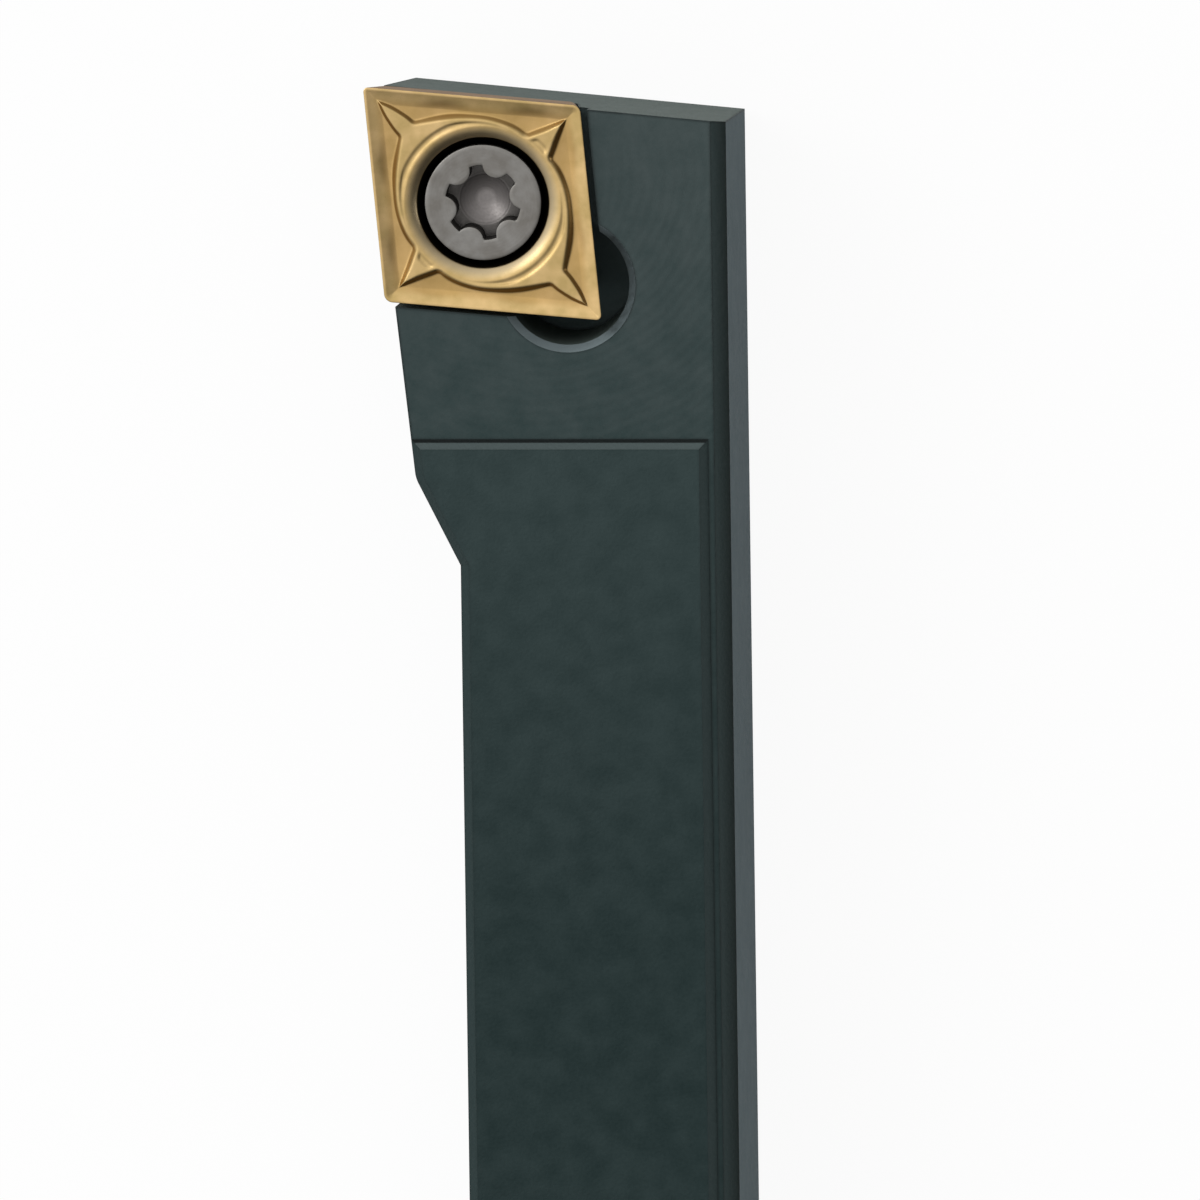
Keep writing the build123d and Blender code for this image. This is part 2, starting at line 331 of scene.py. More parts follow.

# %% [markdown]
# Edges look different from faces: a coating builds up along them, handling rubs them, and the
# finishes below also paint shade and highlights along them. A Bevel node answers with the normal
# that the surface would have if its edges were round. Where that differs from the true normal
# there is an edge, and noise breaks the mask up, because neither build-up nor wear is ever even.

# %% Node group: near edges
inputs = [("Width", NUMBER, 0.1), ("Evenness", NUMBER, 0.5)]
near_edges, given, result = new_group("near edges", inputs, [("Mask", NUMBER)])
radius = calc(near_edges, "MULTIPLY", given["Width"], MM)
rounded = add(near_edges, "Bevel", {"Radius": radius}, samples=6).outputs["Normal"]
likeness = vector_calc(near_edges, "DOT_PRODUCT", rounded, surface_normal(near_edges))
edge = ramp(near_edges, likeness, 0.998, 0.94, smooth=True)
speckle = ramp(near_edges, noise(near_edges, surface_point(near_edges), 900.0, 4.0), 0.35, 0.65)
speckle = calc(near_edges, "MAXIMUM", speckle, given["Evenness"])
near_edges.links.new(calc(near_edges, "MULTIPLY", edge, speckle), result["Mask"])
print(near_edges.name, "outputs:", [result[0].name])

# %% [markdown]
# A lathe or a milling cutter leaves rings round its axis. The distance from the axis runs
# through a wave, and a little noise keeps the rings from looking printed.

# %% Node group: cutter rings
inputs = [("Centre", DIRECTION, (0, 0, 0)), ("Spacing", NUMBER, 0.1), ("Waver", NUMBER, 0.3)]
cutter_rings, given, result = new_group("cutter rings", inputs, [("Height", NUMBER)])
place = surface_point(cutter_rings)
distance = from_upright_axis(cutter_rings, place, given["Centre"])
turns = calc(cutter_rings, "DIVIDE", distance, calc(cutter_rings, "MULTIPLY", given["Spacing"], MM))
waver = calc(cutter_rings, "MULTIPLY", noise(cutter_rings, place, 400.0, 3.0), given["Waver"])
turns = calc(cutter_rings, "ADD", turns, waver)
wave = calc(cutter_rings, "SINE", calc(cutter_rings, "MULTIPLY", turns, 2 * pi))
cutter_rings.links.new(ramp(cutter_rings, wave, -1.0, 1.0), result["Height"])
print(cutter_rings.name, "outputs:", [result[0].name])

# %% [markdown]
# The bar is black-oxidised steel: a thin dark skin with a cold green cast. The shank keeps the
# fine orange-peel of its blasted surface, while the head was milled later, is a little paler and
# shows faint arcs of the cutter. Light is painted in as well: the shank turns paler towards the
# step and the head towards the tip, as painted fall-off of the light. The upright sides are
# painted lighter and bluer, and the end, which faces the light, paler still. Painted shade darkens
# the edges and corners, and the chamfers most at their foot. The step's face is painted lit above
# a painted dark line at its foot, and the broken rim of the round hole carries a painted highlight.
# The masks come from where a point lies and from which way its face looks.

# %% Masks of the blackened steel
STEP_Y = 24.15
CORNER_HOLE, CORNER_HOLE_INSET, CORNER_HOLE_FLOOR, RIM_BREAK = 2.75, 2.2, 7.03, 0.3

hole_centre = from_insert(CORNER_HOLE_INSET - INSCRIBED / sin(HALF_CORNER), 0)
rim = CORNER_HOLE + RIM_BREAK

blackened_steel, tree = new_material("blackened_steel")
grain = use_group(tree, fine_grain, {"Size": 0.16, "Fineness": 4.0})
place = surface_point(tree)
position, lean = axes_of(tree, place), axes_of(tree, surface_normal(tree))
along_bar, level = position["Y"], position["Z"]
on_head = ramp(tree, along_bar, STEP_Y * MM, (STEP_Y + 0.1) * MM)
upright = ramp(tree, lean["Z"], 0.35, 0.20)
slope = calc(tree, "MULTIPLY", ramp(tree, lean["Z"], 0.30, 0.45), ramp(tree, lean["Z"], 0.95, 0.85))
to_tip = ramp(tree, lean["Y"], 0.3, 0.6)
from_hole = from_upright_axis(tree, place, (hole_centre[0] * MM, hole_centre[1] * MM, 0))
to_rim = ramp(tree, from_hole, (rim + 0.06) * MM, (rim + 0.02) * MM)
down_chamfer = ramp(tree, level, HEAD_TOP * MM, (HEAD_TOP - 0.65) * MM)
up_step = ramp(tree, level, (HEAD_TOP + 0.12) * MM, (HEAD_TOP + 0.16) * MM)
speckled = ramp(tree, grain["Height"], 0.35, 0.65)
patches = calc(tree, "MULTIPLY", ramp(tree, grain["Mottle"], 0.3, 0.7), 0.6)
patches = calc(tree, "ADD", patches, calc(tree, "MULTIPLY", speckled, 0.4))
print("round hole at", [round(value, 2) for value in hole_centre], "mm, rim", rim, "mm")

# %% Colours of the blackened steel
SHANK_DARK, SHANK_PALE = (0.005, 0.018, 0.018, 1), (0.029, 0.049, 0.049, 1)
HEAD_DARK, HEAD_PALE = (0.019, 0.038, 0.038, 1), (0.055, 0.075, 0.075, 1)
# Painted shade on the chamfers, darkest at their foot.
CHAMFER_SHADE_TOP, CHAMFER_SHADE_FOOT = (0.031, 0.050, 0.050, 1), (0.004, 0.012, 0.011, 1)
# Painted light: the upright sides are lighter and bluer than the top, and the end, which faces the
# light, is paler still.
SIDE_LIT_DARK, SIDE_LIT_BLUE = (0.030, 0.058, 0.067, 1), (0.047, 0.080, 0.091, 1)
END_LIT_DARK, END_LIT_PALE = (0.060, 0.082, 0.074, 1), (0.080, 0.106, 0.096, 1)
# Painted shade along the edges and in the corners, and painted light on the step's face.
EDGE_SHADE, STEP_LIT = (0.003, 0.006, 0.006, 1), (0.075, 0.100, 0.100, 1)
# Painted highlight on the broken rim of the round hole.
RIM_HIGHLIGHT = (0.16, 0.20, 0.21, 1)
PALING = 0.55

mottle = calc(tree, "MULTIPLY", patches, PALING)
# Painted light: the shank turns paler towards the step and the head towards the tip, as light falling
# off away from the tip.
lit_towards_step = ramp(tree, along_bar, 1 * MM, STEP_Y * MM, 0.0, PALING)
lit_towards_tip = ramp(tree, along_bar, STEP_Y * MM, TIP[1] * MM, 0.0, PALING)
shank_colour = blend(tree, calc(tree, "ADD", mottle, lit_towards_step), SHANK_DARK, SHANK_PALE)
head_colour = blend(tree, calc(tree, "ADD", mottle, lit_towards_tip), HEAD_DARK, HEAD_PALE)
side_lit_colour = blend(tree, patches, SIDE_LIT_DARK, SIDE_LIT_BLUE)
end_lit_colour = blend(tree, patches, END_LIT_DARK, END_LIT_PALE)
# Painted shade along every edge and in the corners. It is weaker on the raised land and the upper
# part of the step.
edges = use_group(tree, near_edges, {"Width": 0.22, "Evenness": 0.7})["Mask"]
edges = calc(tree, "MULTIPLY", edges, ramp(tree, up_step, 0.0, 1.0, 0.85, 0.3))
steel_colour = layered(tree, shank_colour, [
    (on_head, head_colour),
    # painted light on the upright sides and the end
    (upright, blend(tree, to_tip, side_lit_colour, end_lit_colour)),
    # painted shade on the chamfers
    (slope, blend(tree, down_chamfer, CHAMFER_SHADE_TOP, CHAMFER_SHADE_FOOT)),
    # painted light on the step's face, above a painted dark line at its foot
    (calc(tree, "MULTIPLY", slope, to_tip), blend(tree, up_step, EDGE_SHADE, STEP_LIT)),
    # painted shade along the edges and in the corners
    (edges, EDGE_SHADE),
    # painted highlight on the rim of the round hole
    (calc(tree, "MULTIPLY", slope, to_rim), RIM_HIGHLIGHT),
])
print("steel goes from", SHANK_DARK[:3], "to", RIM_HIGHLIGHT[:3])

# %% Material: blackened steel
MILL_AXIS = (-2.5 * MM, 36 * MM, 0)
STEEL_ROUGHNESS = (0.44, 0.60)

rings = use_group(tree, cutter_rings, {"Centre": MILL_AXIS, "Spacing": 0.45, "Waver": 1.5})
rough_skin = ramp(tree, grain["Height"], 0.3, 0.7, *STEEL_ROUGHNESS)
roughness = calc(tree, "ADD", rough_skin, calc(tree, "MULTIPLY", upright, 0.25))
far_side = calc(tree, "MULTIPLY", slope, ramp(tree, lean["X"], -0.3, -0.5))
metallic = calc(tree, "MAXIMUM", ramp(tree, upright, 0.0, 1.0, 0.4, 0.15), far_side)
height = calc(tree, "MULTIPLY", grain["Height"], ramp(tree, on_head, 0.0, 1.0, 1.0, 0.5))
ring_height = calc(tree, "MULTIPLY", calc(tree, "MULTIPLY", rings["Height"], on_head), 0.25)
height = calc(tree, "ADD", height, ring_height)
relief = (height, 0.6, 0.03)
metal_surface(tree, steel_colour, metallic, roughness, relief, **{"Specular IOR Level": 0.3})
print(blackened_steel.name, "nodes:", len(tree.nodes))

# %% [markdown]
# The insert has a hard nitride coating, which is what makes it gold. It is a real metal
# colour, so the shader is fully metallic. Shade is painted into the colour: browner down in the
# grooves, most of all on the steeper walls of the island, dark bronze on the flanks under the edge,
# and nearly black inside the hole. The mouth of the hole is painted paler, so that its highlight
# looks whitish. Along the edges the coating is paler, partly from wear and partly as a painted
# highlight. The height of a point, the lean of its face and its distance from the axis tell these
# places apart.

# %% Masks of the gold coating
VALLEY_START, VALLEY_END = BAR_HEIGHT - 0.08, BAR_HEIGHT - 0.21
MOUTH_OUTSIDE, MOUTH_INSIDE = 3.45, 3.10
RING_OUTSIDE, WALLS_FROM = 3.60, 3.70
BORE_OUTSIDE, BORE_INSIDE = 2.96, 2.92

gold_coating, tree = new_material("gold_coating")
grain = use_group(tree, fine_grain, {"Size": 0.06, "Fineness": 3.0})
place = surface_point(tree)
level, upward = axes_of(tree, place)["Z"], axes_of(tree, surface_normal(tree))["Z"]
from_axis = from_upright_axis(tree, place, INSERT_AXIS)
# Painted shade: browner down in the groove.
valley = ramp(tree, level, VALLEY_START * MM, VALLEY_END * MM, 0.0, 0.55, smooth=True)
in_mouth = ramp(tree, from_axis, MOUTH_OUTSIDE * MM, MOUTH_INSIDE * MM, 0.0, 0.6)
beyond_ring = ramp(tree, from_axis, RING_OUTSIDE * MM, WALLS_FROM * MM)
# Painted shade on the island's walls, where they lean most.
steep = calc(tree, "MULTIPLY", ramp(tree, upward, 0.925, 0.79, 0.0, 0.9), beyond_ring)
in_bore = ramp(tree, from_axis, BORE_OUTSIDE * MM, BORE_INSIDE * MM)
flank = calc(tree, "MULTIPLY", ramp(tree, upward, 0.30, 0.10), ramp(tree, in_bore, 1.0, 0.0))
# Paler edges: partly wear, partly a painted highlight.
wear_and_sheen = use_group(tree, near_edges, {"Width": 0.05, "Evenness": 0.6})["Mask"]
mottle = ramp(tree, grain["Mottle"], 0.35, 0.65, 0.0, 0.3)
cloud = ramp(tree, noise(tree, place, 650.0, 2.0), 0.38, 0.62, 0.0, 0.7)
mottle = calc(tree, "ADD", mottle, cloud)
print("the hole is dark from", BORE_INSIDE, "mm inwards")

# %% Material: gold coating
GOLD, OLIVE = (0.63, 0.440, 0.205, 1), (0.45, 0.320, 0.130, 1)
# Painted shade in the grooves and on the island's walls.
VALLEY_SHADE, WALL_SHADE = (0.38, 0.225, 0.075, 1), (0.26, 0.155, 0.05, 1)
# Painted shade on the flanks, in two tones mixed by mottle.
FLANK_SHADE_DARK, FLANK_SHADE_BRONZE = (0.18, 0.105, 0.050, 1), (0.23, 0.140, 0.070, 1)
# Painted shade inside the hole.
BORE_SHADE = (0.030, 0.022, 0.014, 1)
# Paler edges, partly worn and partly a painted highlight, and a paler mouth that makes its highlight
# look whitish.
EDGE_WEAR_SHEEN, MOUTH_SHEEN_PALE = (0.80, 0.62, 0.34, 1), (0.50, 0.44, 0.31, 1)
GOLD_ROUGHNESS = (0.27, 0.40)

gold_colour = layered(tree, GOLD, [
    (mottle, OLIVE),
    # painted shade in the groove
    (valley, VALLEY_SHADE),
    # painted shade on the island's walls
    (steep, WALL_SHADE),
    # paler mouth, so that its highlight looks whitish
    (in_mouth, MOUTH_SHEEN_PALE),
    # paler edges, partly worn and partly a painted highlight
    (calc(tree, "MULTIPLY", wear_and_sheen, 0.5), EDGE_WEAR_SHEEN),
    # painted shade on the flanks
    (flank, blend(tree, mottle, FLANK_SHADE_BRONZE, FLANK_SHADE_DARK)),
    # painted shade inside the hole
    (in_bore, BORE_SHADE),
])
roughness = ramp(tree, grain["Height"], 0.3, 0.7, *GOLD_ROUGHNESS)
roughness = calc(tree, "ADD", roughness, calc(tree, "MULTIPLY", flank, 0.35))
metal_surface(tree, gold_colour, 1.0, roughness, (grain["Height"], 0.35, 0.006))
print(gold_coating.name, "nodes:", len(tree.nodes))

# %% [markdown]
# The screw is hardened steel with a thin grey scale. Its head was turned, so faint rings run
# round it. Painted shade darkens the walls and lobes of the socket. Only the cone in the middle,
# which faces up, is left out of it and keeps a pale colour. Its edges are paler, partly from wear
# and partly as a painted highlight.

# %% Material: screw steel
SCREW_GREY, SCREW_PALE = (0.175, 0.165, 0.150, 1), (0.235, 0.228, 0.215, 1)
# Painted shade in the socket, and the pale cone in its middle.
SOCKET_SHADE, SOCKET_PALE = (0.030, 0.029, 0.026, 1), (0.22, 0.205, 0.198, 1)
SCREW_TOP = 11.65
CONE_OUTSIDE, CONE_INSIDE = 1.20, 1.05
SCREW_ROUGHNESS = (0.36, 0.50)

screw_steel, tree = new_material("screw_steel")
grain = use_group(tree, fine_grain, {"Size": 0.10, "Fineness": 3.0})
rings = use_group(tree, cutter_rings, {"Centre": INSERT_AXIS, "Spacing": 0.14, "Waver": 0.5})
# Paler edges: partly wear, partly a painted highlight.
wear_and_sheen = use_group(tree, near_edges, {"Width": 0.07, "Evenness": 0.5})["Mask"]
place = surface_point(tree)
level, upward = axes_of(tree, place)["Z"], axes_of(tree, surface_normal(tree))["Z"]
sunk = ramp(tree, level, (SCREW_TOP - 0.05) * MM, (SCREW_TOP - 0.4) * MM)
from_axis = from_upright_axis(tree, place, INSERT_AXIS)
# The cone in the middle, facing up, is left out of the painted shade.
out_of_shade = ramp(tree, from_axis, CONE_OUTSIDE * MM, CONE_INSIDE * MM, 0.25, 1.0)
out_of_shade = calc(tree, "MULTIPLY", ramp(tree, upward, 0.2, 0.6), out_of_shade)
screw_colour = layered(tree, SCREW_GREY, [
    (ramp(tree, grain["Mottle"], 0.3, 0.7), SCREW_PALE),
    # painted shade on the socket's walls and lobes
    (sunk, blend(tree, out_of_shade, SOCKET_SHADE, SOCKET_PALE)),
    # paler edges, partly worn and partly a painted highlight
    (calc(tree, "MULTIPLY", wear_and_sheen, 0.4), SCREW_PALE),
])
roughness = ramp(tree, grain["Height"], 0.3, 0.7, *SCREW_ROUGHNESS)
height = calc(tree, "ADD", calc(tree, "MULTIPLY", rings["Height"], 0.3), grain["Height"])
metal_surface(tree, screw_colour, 1.0, roughness, (height, 0.3, 0.01))
print(screw_steel.name, "nodes:", len(tree.nodes))

# %% [markdown]
# Three ways of making a mesh are enough for this tool. A skin joins rows of points into a
# surface, as cloth is stretched over ribs: the insert and the screw are skins. A prism is a
# flat section pushed along a line, and a turned body is a section swung round an axis: both
# serve as cutters that a Boolean takes out of the bar, as the miller's tools do.

# %% Skins, prisms and turned bodies


def skin(rows, closed=False, poles=()):
    """Joins rows of points into faces. Each row is a ring, closed joins the last row to the
    first, and poles gives the points that close the first and the last ring instead."""
    rows = np.asarray(rows, float)
    count, around = rows.shape[:2]
    points = [tuple(point) for point in rows.reshape(-1, 3)]
    faces = []
    for row in range(count if closed else count - 1):
        here, there = row * around, (row + 1) % count * around
        for step in range(around):
            after = (step + 1) % around
            faces.append((here + step, there + step, there + after, here + after))
    for pole, ring, turned_over in zip(poles, (0, count - 1), (False, True)):
        points.append(tuple(pole))
        for step in range(around):
            ends = (ring * around + step, ring * around + (step + 1) % around)
            faces.append((len(points) - 1, *(ends[::-1] if turned_over else ends)))
    return points, faces


def prism(section, place, start, end):
    """A section of (a, b) points, pushed from start to end. place turns (a, b, c) into a point."""
    points = [place(a, b, c) for c in (start, end) for a, b in section]
    count = len(section)
    faces = [tuple(range(count)), tuple(range(2 * count - 1, count - 1, -1))]
    faces += [
        (step, step + count, (step + 1) % count + count, (step + 1) % count)
        for step in range(count)
    ]
    return points, faces


def turned(section, centre, around=160):
    """A section of (radius, height) points, swung round an upright axis, with flat ends."""
    angles = np.linspace(0, 2 * pi, around, endpoint=False)
    rows = [
        [(centre[0] + radius * cos(a), centre[1] + radius * sin(a), level) for a in angles]
        for radius, level in section
    ]
    ends = [(*centre, section[0][1]), (*centre, section[-1][1])]
    return skin(rows, poles=ends)


print("ways of making a mesh:", [way.__name__ for way in (skin, prism, turned)])

# %% [markdown]
# Points and faces become an object, a cutter is taken out of an object by a Boolean that is
# applied at once, and a finished piece gets its material and its body.

# %% From points to finished pieces


def mesh_object(name, points, faces):
    """Makes an object from points in millimetres, with all of its faces looking outwards."""
    mesh = bpy.data.meshes.new(name)
    mesh.from_pydata([Vector(point) * MM for point in points], [], faces)
    solid = bmesh.new()
    solid.from_mesh(mesh)
    bmesh.ops.recalc_face_normals(solid, faces=solid.faces)
    solid.to_mesh(mesh)
    solid.free()
    made = bpy.data.objects.new(name, mesh)
    bpy.context.collection.objects.link(made)
    return made


def apply_modifiers(piece):
    """Turns what the modifiers show into the piece's own mesh."""
    view = bpy.context.evaluated_depsgraph_get()
    shown = bpy.data.meshes.new_from_object(piece.evaluated_get(view))
    piece.modifiers.clear()
    piece.data = shown


def cut_away(piece, points, faces):
    """Takes a cutter's volume out of the piece."""
    cutter = mesh_object("cutter", points, faces)
    boolean = piece.modifiers.new("cut", "BOOLEAN")
    boolean.operation, boolean.solver, boolean.object = "DIFFERENCE", "EXACT", cutter
    bpy.context.view_layer.update()
    apply_modifiers(piece)
    bpy.data.objects.remove(cutter)


def finish_piece(piece, material, crease, body, slot_name):
    """Gives a piece its material, smooth shading up to a crease angle and its body. slot_name is not
    used.
    """
    piece.data.materials.clear()
    piece.data.materials.append(material)
    piece.data.shade_smooth()
    piece.data.set_sharp_from_angle(angle=radians(crease))
    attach(piece, body)
    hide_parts(body)
    print(f"{piece.name}: {len(piece.data.vertices)} points, {len(piece.data.polygons)} faces")


print("steps of a piece:", [step.__name__ for step in (mesh_object, cut_away, finish_piece)])

# %% [markdown]
# The bar starts as one outline in plan. The head's two cutting faces run a little behind the
# insert's edges and lean half a degree and one degree further away, so two lines and a point on
# each give every corner. These helpers find where lines cross, round a corner, and draw a whole
# outline in.

# %% Lines and corners in plan


def cross(first, first_angle, second, second_angle):
    """The point where two lines cross, each given by a point on it and its angle."""
    a, b = radians(first_angle), radians(second_angle)
    reach = (second[0] - first[0]) * sin(b) - (second[1] - first[1]) * cos(b)
    reach /= sin(b - a)
    return (first[0] + reach * cos(a), first[1] + reach * sin(a))


def beside_insert(distance, angle):
    """A point at a distance and an angle from the insert's centre."""
    return (
        INSERT_X + distance * cos(radians(angle)),
        INSERT_Y + distance * sin(radians(angle)),
    )


def rounded_corner(before, corner, after, radius, steps=14):
    """The arc that rounds a corner, as a list of points."""
    back, forth = Vector(before) - Vector(corner), Vector(after) - Vector(corner)
    back.normalize()
    forth.normalize()
    opening = back.angle(forth)
    bisector = (back + forth).normalized()
    centre = Vector(corner) + bisector * radius / sin(opening / 2)
    start = Vector(corner) + back * radius / tan(opening / 2) - centre
    sweep = start.angle_signed(Vector(corner) + forth * radius / tan(opening / 2) - centre)
    points = []
    for step in range(steps + 1):
        turn = -sweep * step / steps
        points.append((
            centre.x + start.x * cos(turn) - start.y * sin(turn),
            centre.y + start.x * sin(turn) + start.y * cos(turn),
        ))
    return points


def drawn_in(outline, distance):
    """The outline with every side moved inwards by a distance."""
    moved = []
    for before, here, after in zip(outline[-1:] + outline[:-1], outline, outline[1:] + outline[:1]):
        lines = []
        for start, end in ((before, here), (here, after)):
            angle = atan2(end[1] - start[1], end[0] - start[0])
            shift = (-sin(angle) * distance, cos(angle) * distance)
            lines.append(((start[0] + shift[0], start[1] + shift[1]), degrees(angle)))
        moved.append(cross(*lines[0], *lines[1]))
    return moved


print("example of a crossing:", cross((0, 0), 90, (5, 2), 0))

# %% [markdown]
# The outline is then stacked at four heights, drawn in at the bottom and the top, which makes
# the chamfer round the base and the sloping border round the top.

# %% Outline of the bar
FRONT_SETBACK, SIDE_SETBACK = 0.17, 0.32
ELBOW_LENGTH, NECK_ANGLE, ELBOW_RADIUS = 17.6, 26.4, 1.6
BASE_CHAMFER, TOP_BORDER, REAR_CHAMFER = 0.4, 0.4, 0.6
FRONT_NORMAL, SIDE_NORMAL = 84.5, 186.0

front_point = beside_insert(INSCRIBED - FRONT_SETBACK, FRONT_NORMAL)
side_point = beside_insert(INSCRIBED - SIDE_SETBACK, SIDE_NORMAL)
front_left = cross(front_point, FRONT_NORMAL - 90, side_point, SIDE_NORMAL + 90)
front_right = cross(front_point, FRONT_NORMAL - 90, (BAR_WIDTH / 2, 0), 90)
elbow = cross((0, TIP[1] - ELBOW_LENGTH), 0, side_point, SIDE_NORMAL + 90)
neck_rear = cross(elbow, NECK_ANGLE - 90, (-BAR_WIDTH / 2, 0), 90)
rear, half_width = -BAR_LENGTH / 2, BAR_WIDTH / 2
outline = [
    front_left,
    *rounded_corner(front_left, elbow, neck_rear, ELBOW_RADIUS),
    neck_rear,
    (-half_width, rear + REAR_CHAMFER),
    (-half_width + REAR_CHAMFER, rear),
    (half_width - REAR_CHAMFER, rear),
    (half_width, rear + REAR_CHAMFER),
    front_right,
]
levels = ((BASE_CHAMFER, 0), (0, BASE_CHAMFER), (0, HEAD_TOP), (TOP_BORDER, BAR_HEIGHT))
stack = [[(x, y, z) for x, y in drawn_in(outline, inset)] for inset, z in levels]
points, faces = skin(stack)
faces.append(tuple(range(len(outline))))
faces.append(tuple(range(len(points) - 1, len(points) - 1 - len(outline), -1)))
holder = mesh_object("tool_holder", points, faces)
print("outline corners:", len(outline), "neck meets the bar at y =", round(neck_rear[1], 2))

# %% [markdown]
# Then come the miller's cuts, in the order of the real work. The head's face and a ledge along
# the right side are lowered, which leaves the raised land on the shank. Below the head, two
# slanted cuts give the clearance that keeps the steel off the workpiece. The pocket is cut
# last: a floor and two walls, a round hole where the insert's far corner would touch, and the
# screw's hole through the floor.

# %% Sections of the cuts
FAR = 5.0


def lowering(border, end):
    """Section of a cut from a sloping border out to its end, above the head's face."""
    high = BAR_HEIGHT + FAR
    return [(border, HEAD_TOP), (end, HEAD_TOP), (end, high), (border - TOP_BORDER - FAR, high)]


def clearance(slope):
    """Section of the steel taken off below a head face, down to the broken edge of the base."""
    foot = (BASE_CHAMFER - HEAD_TOP) * slope
    below = (foot - BASE_CHAMFER - FAR, -FAR)
    return [(0, HEAD_TOP), (FAR, HEAD_TOP), (FAR, -FAR), below, (foot, BASE_CHAMFER)]


def along_face(point, normal):
    """Places a section square to a head face: a goes out of the face, b up, c along it."""
    n = radians(normal)
    return lambda a, b, c: (
        point[0] + a * cos(n) + c * sin(n),
        point[1] + a * sin(n) - c * cos(n),
        b,
    )


print("a lowered section has", len(lowering(0, 1)), "corners, a clearance", len(clearance(0.1)))

# %% Long cuts
DATUM_CHAMFER, DATUM_LEDGE = 0.65, 0.25
SIDE_CLEARANCE, FRONT_CLEARANCE = tan(radians(5.0)), tan(radians(5.5))
ACROSS_BAR, ACROSS_FACE = 20, 21

chamfer_top = half_width - DATUM_CHAMFER
ledge = lowering(chamfer_top - DATUM_LEDGE, half_width + FAR)
datum_chamfer = [
    (chamfer_top - FAR, HEAD_TOP + FAR),
    (half_width + FAR, HEAD_TOP - DATUM_CHAMFER - FAR),
    (half_width + FAR, HEAD_TOP + FAR),
]
front_face = along_face(front_point, FRONT_NORMAL)
side_face = along_face(cross(side_point, SIDE_NORMAL + 90, neck_rear, 0), SIDE_NORMAL)
side_length = TIP[1] - neck_rear[1] + FAR
cuts = {
    "head face": prism(
        lowering(STEP_Y, TIP[1] + FAR), lambda a, b, c: (c, a, b), -ACROSS_BAR, ACROSS_BAR
    ),
    "ledge": prism(ledge, lambda a, b, c: (a, c, b), -BAR_LENGTH, BAR_LENGTH),
    "datum chamfer": prism(datum_chamfer, lambda a, b, c: (a, c, b), -BAR_LENGTH, BAR_LENGTH),
    "end clearance": prism(clearance(FRONT_CLEARANCE), front_face, -ACROSS_FACE, ACROSS_FACE),
    "side clearance": prism(clearance(SIDE_CLEARANCE), side_face, 0, side_length),
}
print("long cuts:", ", ".join(cuts))

# %% Pocket and holes
SEAT_RADIUS = INSCRIBED - (BAR_HEIGHT - SEAT) * FLANK
WALL_CONTACT, WALL_RELIEF = 2.4, 0.25
SCREW_HOLE, MOUTH_BREAK = 1.8, 0.3


def pocket(side_distance):
    """Plan of the pocket: two walls beside the insert, and open past its cutting edges."""
    apex = -side_distance / sin(HALF_CORNER)
    reach = 3 * INSCRIBED
    arm = (apex + reach * cos(HALF_CORNER), reach * sin(HALF_CORNER))
    corners = [(apex, 0), (arm[0], -arm[1]), (2 * arm[0] - apex, 0), arm]
    return [from_insert(*corner) for corner in corners]


wall_top = SEAT + WALL_CONTACT
low_floor, low_top = pocket(SEAT_RADIUS), pocket(SEAT_RADIUS + WALL_CONTACT * FLANK)
points, faces = skin([
    [(x, y, SEAT) for x, y in low_floor],
    [(x, y, wall_top) for x, y in low_top],
])
cuts["pocket"] = points, faces + [(0, 1, 2, 3), (7, 6, 5, 4)]
cuts["pocket relief"] = prism(
    pocket(INSCRIBED + WALL_RELIEF), lambda a, b, c: (a, b, c), wall_top, BAR_HEIGHT + FAR
)
straight = [(CORNER_HOLE, CORNER_HOLE_FLOOR), (CORNER_HOLE, HEAD_TOP - RIM_BREAK)]
cuts["corner hole"] = turned([*straight, (rim, HEAD_TOP), (rim, BAR_HEIGHT)], hole_centre)
mouth = SCREW_HOLE + MOUTH_BREAK
straight = [(SCREW_HOLE, -1), (SCREW_HOLE, SEAT - MOUTH_BREAK)]
cuts["screw hole"] = turned([*straight, (mouth, SEAT), (mouth, SEAT + 1)], (INSERT_X, INSERT_Y))
for name, cutter in cuts.items():
    cut_away(holder, *cutter)
    print(f"{name}: {len(holder.data.polygons)} faces left")

# %% [markdown]
# No machined edge is perfectly sharp. A Bevel modifier breaks every edge by a few hundredths
# of a millimetre, and those narrow strips are what catch the light along the tool's edges. The
# round holes are left out, because their cutters brought a broken edge of their own. An edge
# belongs to a hole when both of its ends lie within the hole's rim, seen from above.

# %% Broken edges of the bar
EDGE_BREAK = 0.05
FLATTEST_EDGE = radians(16)


def in_round_hole(edge):
    """Tells whether both ends of an edge lie on one of the two round holes."""
    for centre, radius in ((hole_centre, rim), ((INSERT_X, INSERT_Y), mouth)):
        reach = [(Vector(end.co[:2]) / MM - Vector(centre)).length for end in edge.verts]
        if max(reach) < radius + 0.01:
            return True
    return False


solid = bmesh.new()
solid.from_mesh(holder.data)
weight = solid.edges.layers.float.new("bevel_weight_edge")
for edge in solid.edges:
    edge[weight] = 0.0 if edge.calc_face_angle(0) < FLATTEST_EDGE or in_round_hole(edge) else 1.0
print("edges to break:", sum(1 for edge in solid.edges if edge[weight]), "of", len(solid.edges))
solid.to_mesh(holder.data)
solid.free()
bevel = holder.modifiers.new("edge break", "BEVEL")
bevel.width, bevel.segments = EDGE_BREAK * MM, 2
bevel.limit_method = "WEIGHT"
apply_modifiers(holder)
finish_piece(holder, blackened_steel, 8, "holder", "blackened_steel")

